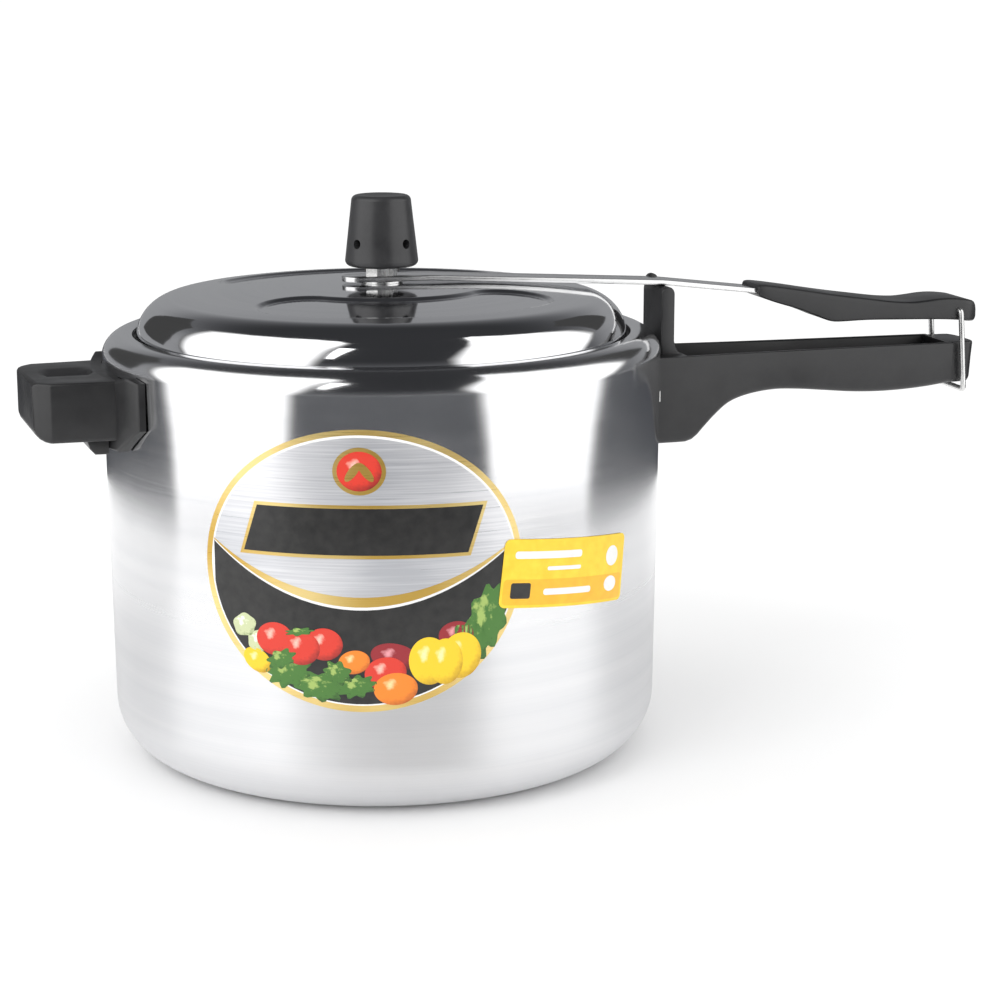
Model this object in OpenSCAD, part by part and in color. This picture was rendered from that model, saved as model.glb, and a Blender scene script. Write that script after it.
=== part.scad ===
// Pressure canner with an inner lid, a lever bar, two handles and a drop-on weight.
// Millimetres. Origin: centre of the pot's base. +Z up, +X towards the long handle.

/* [Pot] */
// Outside diameter of the pot wall at the shoulder
pot_d = 240; // [220:1:290]
// Height of the pot from its base to the top of the lip
pot_h = 183; // [150:1:220]
// Thickness of the pot wall
wall_t = 2.5; // [2:0.1:3.5]
// Thickness of the pot base
base_t = 3; // [2.5:0.1:5]
// Outside radius of the bottom corner
corner_r = 25; // [15:1:30]
// Outside radius of the shoulder that turns into the lip
shoulder_r = 9.65; // [7:0.05:12]
// Width of the lip from the wall's outside to the mouth
lip_w = 13.2; // [12:0.1:15]

/* [Lid] */
// Thickness of the lid sheet
lid_t = 2.2; // [1.8:0.1:3]
// Height of the lid's centre above the lip
lid_rise = 19.8; // [16:0.1:25]
// Radius of the lid's rounded edge
lid_edge_r = 17.5; // [16:0.5:22]
// Clearance between the lid wall and the mouth
mouth_gap = 1.5; // [1.4:0.1:3]
// Depth of the stamped stiffening recesses
recess_t = 1.1; // [0.5:0.1:1.8]

/* [Lever] */
// Thickness of the lever bar
bar_t = 2.2; // [1.8:0.1:3]
// Width of the lever bar
bar_w = 15.5; // [13:0.5:16]
// Height of the post's round top above the lip
post_h = 14.5; // [13:0.1:18]
// Clearance between the bar and the top of the post
post_gap = 0.3; // [0.2:0.05:0.6]
// Wire diameter of the locking bail
wire_d = 2.5; // [2:0.1:3]

/* [Handles] */
// Length of the long handle from the pot wall
handle_l = 156; // [145:0.5:190]
// Wall thickness of the moulded handles
mould_t = 2.8; // [2.4:0.1:3.5]
// Reach of the helper handle from the pot wall
helper_l = 34; // [30:0.5:45]
// Turn of the helper handle away from straight opposite the long one
helper_turn = 3; // [0:0.5:6]
// Diameter of the handle studs
stud_d = 6; // [5:0.1:7]

/* [Weight] */
// Largest diameter of the pressure weight
weight_d = 31.4; // [30:0.1:38]
// Height of the pressure weight
weight_h = 30.3; // [29:0.1:38]

/* [Hidden] */
$fn = 96;
fit = 0.1;                       // radial gap round fixed pins and screws
seat = 0.02;                     // gap between faces that rest on each other
R = pot_d / 2;
H = pot_h;
mouth_r = R - lip_w;
lid_r = mouth_r - mouth_gap;
flange_r = lid_r + 7.5;
taper = 1.7;                     // the wall draws in by this much down to the corner
lip_z = H - wall_t;              // underside of the lip
crown_r = 820 * lid_r / 105.3;
edge_x = lid_r - lid_edge_r;
crown_z = H + lid_rise;
edge_z = crown_z - crown_r + sqrt(pow(crown_r - lid_edge_r, 2) - edge_x * edge_x);
wall_z = H - 9.2;                // where the lid wall meets its flange
recess_r = lid_r - 42.5;         // middle radius of the stamped recesses
recess_w = 17.5;                 // half their width
washer_z = crown_z + seat;
bar_z = crown_z + 0.8;           // underside of the bar at the vent
nut_z = bar_z + bar_t + seat;
post_x = R + 6.15;               // axis of the post's round top
post_r = 3.15;
post_z = H + post_h - post_r;
bar_px = post_z + post_r + post_gap;   // underside of the bar over the post
bar_slope = 0.12;
grip_slope = 0.165;               // the bar follows the grip from the nose on
nose = R + 50;
bar_end = R + 82;
grip_z = H + post_h - 14.5;
stud_z = H - 27;
helper_a = 180 + helper_turn;
plate_t = 1.9;                   // handle bracket plate
plate_r = R + 0.1;
hs = (handle_l - 31.5) / 124.5;    // stretches the grip part of the long handle
pivot = [R + handle_l - 10, grip_z - 0.6];
wire_r = wire_d / 2;
label_a = -17.6;
label_w = 126.4;                 // width across the chord
label_c = 6.5;
bail_x = R + handle_l - 7.5;
bail_z = H - 37;
bail_y = 15.6 + 0.5;
weight_z = nut_z + 4;
vent_top = nut_z + 16.5;

steel = [0.80, 0.81, 0.83];
bright = [0.86, 0.87, 0.88];
black = [0.06, 0.06, 0.065];

// ---------- helpers ----------

// extrudes a side view (x, z) to both sides of y = 0
module side(w) {
    rotate([90, 0, 0]) linear_extrude(height = w, center = true) children();
}

// extrudes a front view (y, z) along x from x0 to x1
module front(x0, x1) {
    translate([x0, 0, 0]) rotate([90, 0, 90]) linear_extrude(height = x1 - x0) children();
}

// a tube standing on the z axis
module tube(r, hole, z0, z1) {
    translate([0, 0, z0]) difference() {
        cylinder(r = r, h = z1 - z0);
        translate([0, 0, -1]) cylinder(r = hole, h = z1 - z0 + 2);
    }
}

// ---------- pot ----------

// half section of the pot, drawn in by t from its outside
module pot_outline(t) {
    low = R - taper - t;
    cr = corner_r - t;
    sr = shoulder_r - t;
    difference() {
        union() {
            translate([0, t]) square([low - cr, H - 2 * t]);
            translate([low - cr, t]) intersection() {
                square([cr, cr]);
                translate([0, cr]) circle(r = cr);
            }
            polygon([[0, corner_r], [low, corner_r], [R - t, H - shoulder_r], [0, H - shoulder_r]]);
            translate([R - shoulder_r, H - shoulder_r]) intersection() {
                square([sr, sr]);
                circle(r = sr);
            }
            translate([0, H - shoulder_r]) square([R - shoulder_r, sr]);
        }
        translate([-R, -1]) square([R, H + 2]);
    }
}

module pot_body() {
    color(steel) difference() {
        rotate_extrude() difference() {
            pot_outline(0);
            difference() {
                pot_outline(wall_t);
                square([R, base_t]);
            }
            translate([0, H - 2 * shoulder_r]) square([mouth_r, 2 * shoulder_r + 1]);
        }
        rivet_holes(0);
        rivet_holes(helper_a);
    }
}

module rivet_holes(a) {
    for (s = [-1, 1]) rotate([0, 0, a + s * 7])
        translate([R - 8, 0, stud_z]) rotate([0, 90, 0]) cylinder(r = 2.4, h = 16);
}

// ---------- handle fixings ----------

module bracket(a, len) {
    rotate([0, 0, a]) {
        intersection() {
            difference() {
                translate([0, 0, stud_z - 12]) cylinder(r = plate_r + plate_t, h = 24);
                translate([0, 0, stud_z - 13]) cylinder(r = plate_r, h = 26);
                rivet_holes(0);
            }
            front(R - 8, R + 8) union() {
                translate([-20, stud_z - 8]) square([40, 16]);
                translate([0, stud_z]) circle(r = 11.5);
            }
        }
        translate([plate_r + plate_t - 0.5, 0, stud_z]) rotate([0, 90, 0])
            cylinder(r = stud_d / 2, h = len);
    }
}

module rivets(a) {
    inner = R - wall_t - 0.4;
    for (s = [-1, 1]) rotate([0, 0, a + s * 7]) translate([0, 0, stud_z]) rotate([0, 90, 0]) {
        translate([0, 0, inner - 1.4]) cylinder(r = 3.6, h = 1.2);
        translate([0, 0, inner - 1.4]) cylinder(r = 2.3, h = 7);
        translate([0, 0, plate_r + plate_t + 0.15]) cylinder(r = 3.4, h = 1.1);
    }
}

// room for the bracket plate and its rivet heads behind a moulded foot
module bracket_room() {
    intersection() {
        translate([0, 0, stud_z - 12.5]) cylinder(r = plate_r + plate_t + 0.4, h = 25);
        front(R - 8, R + 8) translate([-20.5, stud_z - 12.5]) square([41, 25]);
    }
    for (s = [-1, 1]) rotate([0, 0, s * 7]) translate([R, 0, stud_z]) rotate([0, 90, 0])
        cylinder(r = 4.2, h = 4);
    translate([R, 0, stud_z]) rotate([0, 90, 0]) cylinder(r = stud_d / 2 + 0.2, h = 17);
}

module washer_at(x) {
    translate([x, 0, stud_z]) rotate([0, 90, 0]) tube(stud_d + 0.5, stud_d / 2 + fit, 0, 1.2);
}

module nut_at(x) {
    translate([x, 0, stud_z]) rotate([0, 90, 0]) difference() {
        cylinder(r = stud_d - 0.3, h = 4.6, $fn = 6);
        translate([0, 0, -1]) cylinder(r = stud_d / 2 + fit, h = 7);
    }
}

module long_bracket() { color(bright) bracket(0, 20.5); }
module long_rivets() { color(bright) rivets(0); }
module long_washer() { color(bright) washer_at(R + 14.1); }
module long_nut() { color(bright) nut_at(R + 15.4); }
module helper_bracket() { color(bright) bracket(helper_a, 14.5); }
module helper_rivets() { color(bright) rivets(helper_a); }
module helper_washer() { color(bright) rotate([0, 0, helper_a]) washer_at(R + 7.6); }
module helper_nut() { color(bright) rotate([0, 0, helper_a]) nut_at(R + 8.9); }

// ---------- long handle ----------

// height of the handle's underside at x from the wall, measured from the lip
function under(x) =
    x < 15.4 ? -54.4 :
    x < 27 ? -54.4 + (x - 15.4) * 10.7 / 11.6 :
    x < 56 ? -78.2 + sqrt(45.05 * 45.05 - (56 - x) * (56 - x)) :
    wave(27 + (x - 27) / hs);
function wave(u) =
    u < 56 ? -33.2 :
    u < 108 ? -34.95 + 1.75 * cos(180 * (u - 56) / 52) :
    u < 143.4 ? -36.7 + 2.3 * pow((u - 108) / 34, 2) :
    -34.2;

module handle_side(x0, x1, up, top) {
    n = 40;
    polygon(concat(
        [for (i = [0:n]) let (x = x0 + (x1 - x0) * i / n) [x, under(x) + up]],
        [[x1, top], [x0, top]]));
}

// what the rounded lower end of the tip leaves out, side view
module tip_trim() {
    e = handle_l - 1.5;
    difference() {
        polygon([[e - 3, -31.2], [e, -31.2], [handle_l, -15.4], [handle_l + 1, -15.4],
            [handle_l + 1, -50], [e - 3, -50]]);
        translate([e - 3, -31.2]) circle(r = 3);
    }
}

// plan view of the long handle, drawn in by t
module handle_plan(t) {
    e = handle_l - 12.5;
    x0 = t > 0 ? 8 : -8;
    x1 = t > 0 ? e - 2.5 : e;
    polygon([[x0, 20.4 - t], [13.5, 19.8 - t], [28, 18.6 - t], [58 * hs, 17.2 - t],
        [97 * hs, 16.2 - t], [x1, 15 - t], [x1, -15 + t], [97 * hs, -16.2 + t],
        [58 * hs, -17.2 + t], [28, -18.6 + t], [13.5, -19.8 + t], [x0, -20.4 + t]]);
    if (t == 0) {
        translate([e - 1, -13.2]) square([8.3, 26.4]);
        translate([e + 7.2, -8]) square([5.3, 16]);
        for (s = [-1, 1]) translate([e + 7.3, s * 8]) circle(r = 5.2);
    }
}

module long_handle() {
    color(black) translate([R, 0, H]) union() {
        handle_shell();
        // rib across the channel
        intersection() {
            side(40) translate([40, under(40) + 1.5]) square([2.6, 8]);
            translate([0, 0, -60]) linear_extrude(height = 60) handle_plan(1.4);
        }
    }
}

module handle_shell() {
    difference() {
        union() {
            intersection() {
                side(60) difference() {
                    handle_side(-8, handle_l, 0, -15.5);
                    tip_trim();
                }
                translate([0, 0, -60]) linear_extrude(height = 60) handle_plan(0);
            }
            // post with its round top
            side(25) union() {
                translate([3, -17]) square([6.3, 17 + post_h - post_r]);
                translate([6.15, post_h - post_r]) circle(r = post_r);
                polygon([[9, -15.6], [13.5, -15.6], [9, -10]]);
            }
            translate([0, 10.5, 0]) side(4) union() {
                translate([3.6, 0]) square([5.1, post_h + 1]);
                translate([6.15, post_h + 1]) circle(r = 2.5);
            }
        }
        // channel
        intersection() {
            side(60) handle_side(13.9, handle_l - 12.1, mould_t + 0.2, 5);
            translate([0, 0, -55]) linear_extrude(height = 60) handle_plan(mould_t);
        }
        translate([-R, 0, -H]) {
            cylinder(r = R + 0.3, h = 2 * H);
            bracket_room();
        }
    }
}

// ---------- helper handle ----------

module helper_handle() {
    w = 30;
    c = 6.5;
    color(black) rotate([0, 0, helper_a]) difference() {
        union() {
            // body with chamfered outer corners and a rounded lower edge
            intersection() {
                translate([R - 8, 0, H - 37]) linear_extrude(height = 24.6)
                    polygon([[0, -w], [helper_l + 8 - c, -w + 2], [helper_l + 8, -w + 8],
                        [helper_l + 8, w - 8], [helper_l + 8 - c, w - 2], [0, w]]);
                side(2 * w + 2) union() {
                    translate([R - 8, H - 37]) square([helper_l + 3, 26]);
                    translate([R + helper_l - 5, H - 32]) square([5, 21]);
                    translate([R + helper_l - 5, H - 32]) circle(r = 5);
                }
            }
            // flared foot that hugs the wall
            intersection() {
                translate([0, 0, H - 44]) cylinder(r = R + 6.2, h = 42);
                front(R - 20, R + 8) polygon([[-44, H - 31], [-30, H - 41.5], [30, H - 41.5],
                    [44, H - 31], [44, H - 11.5], [37, H - 10], [28, H - 12.4], [-28, H - 12.4],
                    [-37, H - 10], [-44, H - 11.5]]);
            }
            // tab below the body
            translate([R - 8, -24.5, H - 43.4]) cube([21, 49, 8]);
        }
        // hollow underneath
        translate([R + 7.5, -w + 8, H - 50]) cube([helper_l - 14, 2 * w - 16, 32.6]);
        // finger dish on top
        for (x = [12, 21]) translate([R + x, 0, H - 14.4]) cylinder(r = 7, h = 5);
        translate([R + 12, -7, H - 14.4]) cube([9, 14, 5]);
        cylinder(r = R + 0.3, h = 2 * H);
        bracket_room();
    }
}

// ---------- labels ----------

// a thin skin on the tapered wall
module skin(t) {
    z1 = H - shoulder_r;
    rotate_extrude() polygon([[R - taper + 0.06, corner_r], [R - taper + 0.06 + t, corner_r],
        [R + 0.06 + t, z1], [R + 0.06, z1]]);
}

module label_oval() {
    color([0.75, 0.68, 0.42]) difference() {
        intersection() {
            skin(0.3);
            rotate([0, 0, label_a]) translate([0, 0, 0.567 * H]) rotate([90, 0, 0])
                linear_extrude(height = R + 5) intersection() {
                    translate([0, -label_c]) circle(r = label_w / 2 + 0.3);
                    translate([0, label_c]) circle(r = label_w / 2 + 0.3);
                }
        }
        care_block(0.15);
    }
}

// the care sticker's outline, grown by g and pushed out through the wall
module care_block(g) {
    rotate([0, 0, 25.3]) translate([0, 0, 0.528 * H]) rotate([90, 0, 0])
        linear_extrude(height = R + 5 + g) rotate(-6.5) translate([1.4, 0]) union() {
            square([67.6 + 2 * g, 23], center = true);
            square([62.6, 28 + 2 * g], center = true);
            for (s = [-1, 1], t = [-1, 1]) translate([s * 31.3, t * 11.5]) circle(r = 2.5 + g);
        }
}

module label_care() {
    color([0.93, 0.78, 0.1]) intersection() {
        skin(0.3);
        care_block(0);
    }
}

// ---------- lid ----------

// half section under the lid's outside, drawn in by t
module dome(t) {
    a = asin(edge_x / (crown_r - lid_edge_r));
    low = wall_z - 3;
    intersection() {
        translate([0, crown_z - crown_r]) circle(r = crown_r - t, $fn = 720);
        polygon([[0, low], [edge_x, low], [edge_x, edge_z],
            [edge_x + 30 * sin(a), edge_z + 30 * cos(a)], [0, crown_z + 20]]);
    }
    difference() {
        translate([edge_x, edge_z]) circle(r = lid_edge_r - t);
        translate([-R, 0]) square([R, 2 * H]);
    }
    translate([0, low]) square([lid_r - t, edge_z - low]);
}

// plan of one stamped recess
module recess_plan(g) {
    w = recess_w + g;
    end = [for (t = [0:18:180]) [recess_r + w * cos(t), w * sin(t)]];
    polygon(concat(
        [for (p = end) turned(p, -45)],
        [for (t = [36:-9:-36]) turned([recess_r - w, 0], t - 90)],
        [for (p = end) turned([p[0] * -1 + 2 * recess_r, -p[1]], -135)],
        [for (t = [-36:9:36]) turned([recess_r + w, 0], t - 90)]));
}

function turned(p, a) = [p[0] * cos(a) - p[1] * sin(a), p[0] * sin(a) + p[1] * cos(a)];

module recess_room(g) {
    for (a = [0, 180]) rotate([0, 0, a]) translate([0, 0, edge_z]) linear_extrude(height = 50)
        recess_plan(g);
}

module lid_shell() {
    color(steel) difference() {
        union() {
            rotate_extrude() union() {
                difference() {
                    dome(0);
                    dome(lid_t);
                    square([R, wall_z]);
                }
                translate([lid_r - lid_t, wall_z - 2.3])
                    square([flange_r - lid_r + lid_t, 2.3]);
            }
            // the sheet stands down under the recesses
            intersection() {
                rotate_extrude() difference() {
                    dome(lid_t - 0.2);
                    dome(lid_t + recess_t);
                }
                recess_room(0.8);
            }
        }
        difference() {
            recess_room(0);
            rotate_extrude() dome(recess_t);
        }
        cylinder(r = 5.1, h = 2 * H);
        plug_place() cylinder(r = 5.6, h = 2 * H);
    }
}

module gasket() {
    color([0.28, 0.28, 0.3]) tube(flange_r - 1, lid_r + 0.15, wall_z + seat, lip_z - 0.25);
}

module plug_place() {
    rotate([0, 0, 77]) translate([recess_r, 0, 0]) children();
}

module vent_pipe() {
    color(bright) difference() {
        union() {
            translate([0, 0, crown_z - 11]) cylinder(r = 5, h = nut_z + 4.6 - crown_z + 11);
            translate([0, 0, nut_z + 4.5]) cylinder(r1 = 4.6, r2 = 4, h = vent_top - nut_z - 4.5);
        }
        translate([0, 0, crown_z - 12]) cylinder(r = 1.6, h = 60);
        translate([0, 0, vent_top - 2.4]) cylinder(r1 = 1.6, r2 = 3.001, h = 2.4 + 0.002);
    }
}

module vent_spacer() {
    color(bright) tube(9, 5 + fit, washer_z, bar_z - seat);
}

module vent_nut() {
    color(bright) translate([0, 0, nut_z]) difference() {
        cylinder(r = 6.9, h = 4, $fn = 6);
        translate([0, 0, -1]) cylinder(r = 5 + fit, h = 6);
    }
}

module vent_seal() {
    color([0.1, 0.1, 0.1]) tube(9, 5 + fit, crown_z - lid_t - 1.6, crown_z - lid_t - 0.05);
}

module vent_locknut() {
    color(bright) translate([0, 0, crown_z - lid_t - 6.2]) difference() {
        cylinder(r = 8.6, h = 4.5, $fn = 6);
        translate([0, 0, -1]) cylinder(r = 5 + fit, h = 7);
    }
}

// lid surface in the recess at the plug
plug_z = crown_z - recess_t - recess_r * recess_r / (2 * crown_r);

module safety_plug() {
    color([0.5, 0.1, 0.08]) plug_place() difference() {
        union() {
            translate([0, 0, plug_z + 0.65]) cylinder(r = 8, h = 1.6);
            translate([0, 0, plug_z - 6]) cylinder(r = 5.4, h = 7);
            translate([0, 0, plug_z - 6]) cylinder(r1 = 6, r2 = 7.4, h = 2.6);
        }
        translate([0, 0, plug_z - 7]) cylinder(r = 1.6, h = 12);
    }
}

module plug_pin() {
    color(bright) plug_place() {
        translate([0, 0, plug_z - 7]) cylinder(r = 1.5, h = 9.6);
        translate([0, 0, plug_z + 2.3]) cylinder(r = 3.2, h = 1);
    }
}

// ---------- lever ----------

// side view of the bar, grown by g
module bar_side(g) {
    z0 = bar_z - g;
    z1 = bar_px - g;
    z2 = bar_low(nose) - g;
    e = bar_end + g;
    z3 = bar_low(e) - g;
    t = bar_t + 2 * g;
    polygon([[-17.5 - g, z0], [20, z0], [post_x, z1], [nose, z2], [e, z3],
        [e, z3 + t], [nose, z2 + t], [post_x, z1 + t], [20, z0 + t], [-17.5 - g, z0 + t]]);
}

module lever_bar() {
    color(bright) difference() {
        intersection() {
            side(bar_w) bar_side(0);
            linear_extrude(height = 2 * H) union() {
                translate([bar_w / 2 - 17.5, 0]) circle(r = bar_w / 2);
                translate([bar_w / 2 - 17.5, -bar_w / 2]) square([2 * R + 100, bar_w]);
            }
        }
        cylinder(r = 5 + fit, h = 2 * H);
        for (x = screw_x) translate([x, 0, 0]) cylinder(r = 2.2, h = 2 * H);
    }
}

screw_x = [R + 66, R + 77];
function bar_low(x) =
    x < nose ? bar_px - bar_slope * (x - post_x) :
    bar_px - bar_slope * (nose - post_x) - grip_slope * (x - nose);

// side view of the grip from the nose, measured from the wall and the grip height
module grip_side() {
    polygon([[49.4, 13.9], [52, 13.6], [65.8, 11.6], [78, 9.5], [90.4, 7.5], [102.7, 5.7],
        [115, 4.1], [125, 3.5], [130, 3.9], [134, 4.4], [140, 4.7], [147.8, 4.2], [152, 3.7],
        [154.5, 3], [156.3, 1.2], [157, -1.5], [156.6, -5], [155.2, -6.3], [149, -5.9],
        [146.5, -5.5], [145, -4], [138.5, -3.9], [137.5, -4.8], [118, -4.3], [102, -3.9],
        [87, -4.1], [84, -3.7], [68, 2.4], [58, 5.5], [52, 7.4], [50, 8.6], [49.2, 10.6]]);
}

module upper_grip() {
    color(black) difference() {
        intersection() {
            translate([R, 0, grip_z]) side(40) grip_side();
            translate([R, 0, 0]) linear_extrude(height = 2 * H) union() {
                polygon([[49, -11], [60, -11.4], [148, -13.9], [152, -13.3], [152, 13.3],
                    [148, 13.9], [60, 11.4], [49, 11]]);
                translate([151, -9]) square([6.1, 18]);
                for (s = [-1, 1]) translate([152.1, s * 8.6]) circle(r = 5);
            }
        }
        // slot for the bar
        side(bar_w + 0.4) bar_side(0.15);
        for (x = screw_x) translate([x, 0, 0]) {
            cylinder(r = 1.7, h = bar_low(x) + bar_t + 1.4);
            cylinder(r = 3.4, h = bar_low(x) - 1);
        }
        translate([pivot[0], 0, pivot[1]]) rotate([90, 0, 0])
            cylinder(r = wire_r + 0.1, h = 60, center = true);
    }
}

module grip_screws() {
    color(bright) for (x = screw_x) translate([x, 0, bar_low(x)]) {
        cylinder(r = 1.6, h = bar_t + 1.2);
        translate([0, 0, -2.2]) cylinder(r = 1.6, h = 3);
        translate([0, 0, -3.2]) cylinder(r = 3.1, h = 1.2);
    }
}

// ---------- locking bail ----------

module rod(a, b) {
    v = b - a;
    l = norm(v);
    translate(a) rotate([0, acos(v[2] / l), atan2(v[1], v[0])]) cylinder(r = wire_r, h = l);
}

module lock_wire() {
    px = pivot[0];
    pz = pivot[1];
    y0 = bail_y - 0.4;
    color(bright) {
        for (s = [-1, 1]) {
            rod([px, s * 5, pz], [px, s * y0, pz]);
            translate([px, s * y0, pz]) sphere(r = wire_r + 0.12);
            rod([px, s * y0, pz], [bail_x, s * bail_y, bail_z]);
            translate([bail_x, s * bail_y, bail_z]) sphere(r = wire_r + 0.12);
        }
        rod([bail_x, -bail_y, bail_z], [bail_x, bail_y, bail_z]);
    }
}

// ---------- weight ----------

module weight_cap() {
    r = weight_d / 2;
    top = r - 2.9;
    color(black) translate([0, 0, weight_z]) difference() {
        rotate_extrude() difference() {
            union() {
                translate([0, 0]) square([r - 2.5, 6]);
                translate([r - 2.5, 2.5]) circle(r = 2.5);
                polygon([[0, 2.5], [r, 2.5], [top, weight_h - 2.5], [0, weight_h - 2.5]]);
                translate([top - 2.5, weight_h - 2.5]) circle(r = 2.5);
                translate([0, weight_h - 3]) square([top - 2.5, 3]);
            }
            translate([-R, -1]) square([R, 2 * R]);
        }
        translate([0, 0, -1]) cylinder(r = 9.8, h = 26.5);
        translate([0, 0, weight_h + 69.2]) sphere(r = 70);
        weight_holes();
    }
}

module weight_holes() {
    for (a = [0:90:270]) rotate([0, 0, a + 32]) translate([0, 0, 10.2]) rotate([0, 90, 0])
        cylinder(r = 2, h = 30);
}

module weight_core() {
    color(bright) translate([0, 0, weight_z]) difference() {
        translate([0, 0, 2.6]) cylinder(r = 9.7, h = 22.6);
        translate([0, 0, 1]) cylinder(r = 5.4, h = 13);
        translate([0, 0, 13.9]) cylinder(r = 2.6, h = 13);
        weight_holes();
    }
}

module weight_needle() {
    z = vent_top - weight_z;
    color(steel) translate([0, 0, weight_z]) {
        translate([0, 0, z + 0.05]) cylinder(r = 2.5, h = 8);
        translate([0, 0, z - 3.6]) cylinder(r1 = 0.4, r2 = 2.5, h = 3.66);
    }
}

pot_body();
long_handle();
long_bracket();
long_rivets();
long_washer();
long_nut();
helper_handle();
helper_bracket();
helper_rivets();
helper_washer();
helper_nut();
label_oval();
label_care();
lid_shell();
gasket();
vent_pipe();
vent_spacer();
vent_nut();
vent_seal();
vent_locknut();
safety_plug();
plug_pin();
lever_bar();
upper_grip();
grip_screws();
lock_wire();
weight_cap();
weight_core();
weight_needle();
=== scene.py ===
import bpy, bmesh, math, random
from mathutils import Vector, Matrix


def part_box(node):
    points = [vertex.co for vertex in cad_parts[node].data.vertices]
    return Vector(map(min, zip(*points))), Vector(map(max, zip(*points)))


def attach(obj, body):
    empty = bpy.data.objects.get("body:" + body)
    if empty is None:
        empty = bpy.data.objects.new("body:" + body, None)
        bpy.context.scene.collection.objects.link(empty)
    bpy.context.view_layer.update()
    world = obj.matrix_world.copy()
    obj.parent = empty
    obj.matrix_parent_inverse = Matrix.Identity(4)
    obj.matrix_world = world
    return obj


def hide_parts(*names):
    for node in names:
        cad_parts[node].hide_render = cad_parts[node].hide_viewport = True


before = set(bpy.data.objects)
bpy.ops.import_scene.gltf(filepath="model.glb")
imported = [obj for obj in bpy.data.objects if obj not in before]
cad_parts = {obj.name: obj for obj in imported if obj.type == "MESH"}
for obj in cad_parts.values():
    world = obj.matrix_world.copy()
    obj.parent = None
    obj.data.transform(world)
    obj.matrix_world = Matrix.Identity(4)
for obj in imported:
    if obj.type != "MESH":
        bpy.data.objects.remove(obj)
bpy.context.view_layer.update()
random.seed(11)
scene = bpy.context.scene

potLow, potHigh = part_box("pot_body")
wallR = potHigh[0] * 1000  # all modelling below is in millimetres
lipZ = potHigh[2] * 1000


# small makers

def finishPiece(name, bm, material, body, nodes=(), sharp=38, merge=0.002):
    bmesh.ops.remove_doubles(bm, verts=bm.verts, dist=merge)
    bmesh.ops.recalc_face_normals(bm, faces=bm.faces)
    bmesh.ops.scale(bm, vec=(0.001, 0.001, 0.001), verts=bm.verts)
    for f in bm.faces:
        f.smooth = True
    for e in bm.edges:
        e.smooth = len(e.link_faces) == 2 and e.calc_face_angle(0) < math.radians(sharp)
    mesh = bpy.data.meshes.new(name)
    bm.to_mesh(mesh)
    bm.free()
    mesh.materials.append(material)
    piece = bpy.data.objects.new(name, mesh)
    scene.collection.objects.link(piece)
    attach(piece, body)
    if nodes:
        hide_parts(*nodes)
    return piece


def arcPoints(cx, cz, r, startDeg, endDeg, steps):
    return [(cx + r * math.cos(math.radians(startDeg + (endDeg - startDeg) * i / steps)),
             cz + r * math.sin(math.radians(startDeg + (endDeg - startDeg) * i / steps)))
            for i in range(steps + 1)]


def turnProfile(bm, profile, steps, closed=True):
    verts = [bm.verts.new((r, 0, z)) for r, z in profile]
    edges = [bm.edges.new((a, b)) for a, b in zip(verts, verts[1:])]
    if closed:
        edges.append(bm.edges.new((verts[-1], verts[0])))
    bmesh.ops.spin(bm, geom=verts + edges, cent=(0, 0, 0), axis=(0, 0, 1), angle=2 * math.pi,
                   steps=steps, use_merge=True)
    bmesh.ops.remove_doubles(bm, verts=bm.verts, dist=0.002)
    return bm


def loftRings(bm, rings, capFirst=True, capLast=True):
    # the first ring is drawn, and each next ring is extruded from the one before
    count = len(rings[0])
    verts = [bm.verts.new(p) for p in rings[0]]
    edges = [bm.edges.new((verts[i], verts[(i + 1) % count])) for i in range(count)]
    if capFirst:
        bm.faces.new(verts[::-1])
    for ring in rings[1:]:
        made = bmesh.ops.extrude_edge_only(bm, edges=edges)["geom"]
        fresh = {v for v in made if isinstance(v, bmesh.types.BMVert)}
        nextVerts = []
        for v, p in zip(verts, ring):
            twin = [e.other_vert(v) for e in v.link_edges if e.other_vert(v) in fresh][0]
            twin.co = Vector(p)
            nextVerts.append(twin)
        verts = nextVerts
        edges = [bm.edges.get((verts[i], verts[(i + 1) % count])) for i in range(count)]
    if capLast:
        bm.faces.new(verts)
    return bm


def roundedSection(halfWidth, low, high, rLow, rHigh, steps=4):
    # (y, z) round a rectangle with round corners
    rLow = max(0.05, min(rLow, halfWidth * 0.98, (high - low) * 0.49))
    rHigh = max(0.05, min(rHigh, halfWidth * 0.98, (high - low) * 0.49))
    pts = arcPoints(halfWidth - rHigh, high - rHigh, rHigh, 0, 90, steps)
    pts += arcPoints(-halfWidth + rHigh, high - rHigh, rHigh, 90, 180, steps)
    pts += arcPoints(-halfWidth + rLow, low + rLow, rLow, 180, 270, steps)
    pts += arcPoints(halfWidth - rLow, low + rLow, rLow, 270, 360, steps)
    return pts


def smoothAt(x, stations):
    # Catmull-Rom through (x, value) stations
    if x <= stations[0][0]:
        return stations[0][1]
    last = len(stations) - 1
    for i in range(last):
        x0, v0 = stations[i]
        x1, v1 = stations[i + 1]
        if x <= x1:
            xa, va = stations[max(i - 1, 0)]
            xb, vb = stations[min(i + 2, last)]
            m0 = (v1 - va) / (x1 - xa)
            m1 = (vb - v0) / (xb - x0)
            h = x1 - x0
            t = (x - x0) / h
            return ((2 * t ** 3 - 3 * t ** 2 + 1) * v0 + (t ** 3 - 2 * t ** 2 + t) * h * m0
                    + (-2 * t ** 3 + 3 * t ** 2) * v1 + (t ** 3 - t ** 2) * h * m1)
    return stations[-1][1]


# finishes

def newFinish(name):
    mat = bpy.data.materials.new(name)
    mat.use_nodes = True
    tree = mat.node_tree
    return mat, tree, tree.nodes["Principled BSDF"]


def addNode(tree, kind, **inputs):
    node = tree.nodes.new(kind)
    for key, value in inputs.items():
        if key in node.inputs:
            node.inputs[key].default_value = value
        else:
            setattr(node, key, value)
    return node


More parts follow.
